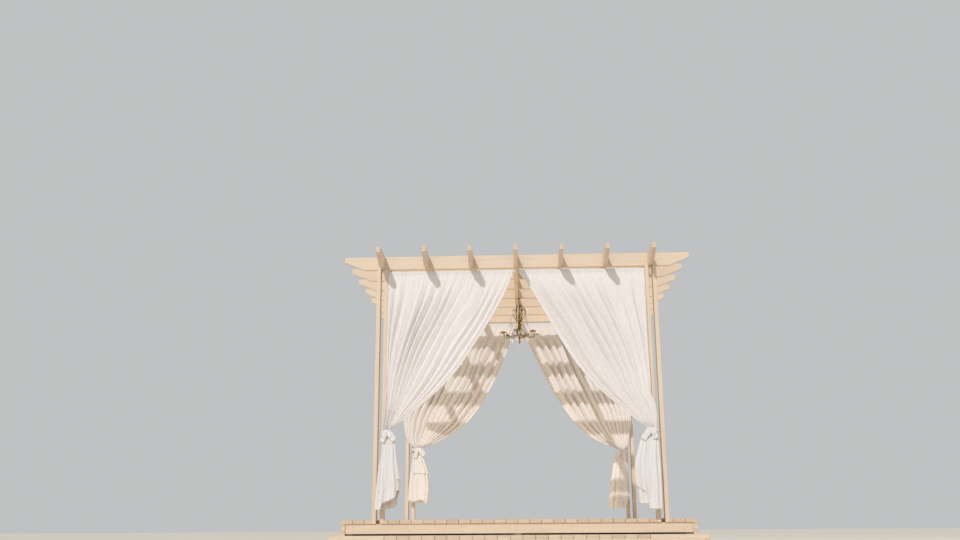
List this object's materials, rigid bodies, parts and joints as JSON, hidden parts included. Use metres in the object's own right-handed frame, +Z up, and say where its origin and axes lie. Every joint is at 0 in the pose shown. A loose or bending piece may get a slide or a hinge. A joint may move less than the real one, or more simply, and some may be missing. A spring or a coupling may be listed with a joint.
{
  "type": "chuppah canopy",
  "caption": "Wedding canopy with a flat open timber lattice on twin-board posts, tied-back white curtains and a hanging chandelier, on a plank deck with a front step.",
  "frame": {"origin": "on the ground, under the middle of the whole, step and roof overhang included", "axes": "+Z up; -Y the front, where the step is; +X to the right as seen from the front"},
  "size_m": [3.62, 3.85, 2.996],
  "materials": {
    "timber_paint": "satin cream paint on planed softwood",
    "plank_paint": "worn cream paint on deck planks",
    "rod_paint": "cream painted steel rod",
    "curtain_cloth": "matte white cotton voile",
    "aged_brass": "aged brass",
    "cut_crystal": "clear cut crystal"
  },
  "bodies": {
    "root": {"bearer_left": "timber_paint", "bearer_middle": "timber_paint", "bearer_right": "timber_paint", "base_skirt_back": "timber_paint", "step_skirt_front": "timber_paint", "base_skirt_left": "timber_paint", "base_skirt_right": "timber_paint", "deck_planks": "plank_paint", "deck_skirt_front": "timber_paint", "deck_skirt_back": "timber_paint", "deck_skirt_left": "timber_paint", "deck_skirt_right": "timber_paint", "step_planks": "plank_paint", "step_side_planks_left": "plank_paint", "step_side_planks_right": "plank_paint", "post_front_left_inner": "timber_paint", "post_front_left_outer": "timber_paint", "post_front_right_inner": "timber_paint", "post_front_right_outer": "timber_paint", "post_back_left_inner": "timber_paint", "post_back_left_outer": "timber_paint", "post_back_right_inner": "timber_paint", "post_back_right_outer": "timber_paint", "cross_board_1": "timber_paint", "rafter_1": "timber_paint", "cross_board_2": "timber_paint", "rafter_2": "timber_paint", "cross_board_3": "timber_paint", "rafter_3": "timber_paint", "cross_board_4": "timber_paint", "rafter_4": "timber_paint", "cross_board_5": "timber_paint", "rafter_5": "timber_paint", "cross_board_6": "timber_paint", "rafter_6": "timber_paint", "cross_board_7": "timber_paint", "rafter_7": "timber_paint", "curtain_rod_front": "rod_paint", "curtain_rod_back": "rod_paint", "curtain_front_left": "curtain_cloth", "curtain_front_right": "curtain_cloth", "curtain_back_left": "curtain_cloth", "curtain_back_right": "curtain_cloth", "curtain_tie_front_left": "curtain_cloth", "curtain_tie_front_right": "curtain_cloth", "curtain_tie_back_left": "curtain_cloth", "curtain_tie_back_right": "curtain_cloth", "chandelier_chain": "aged_brass", "chandelier_stem": "aged_brass", "chandelier_arms": "aged_brass", "chandelier_crystal": "cut_crystal"}
  },
  "joints": []
}
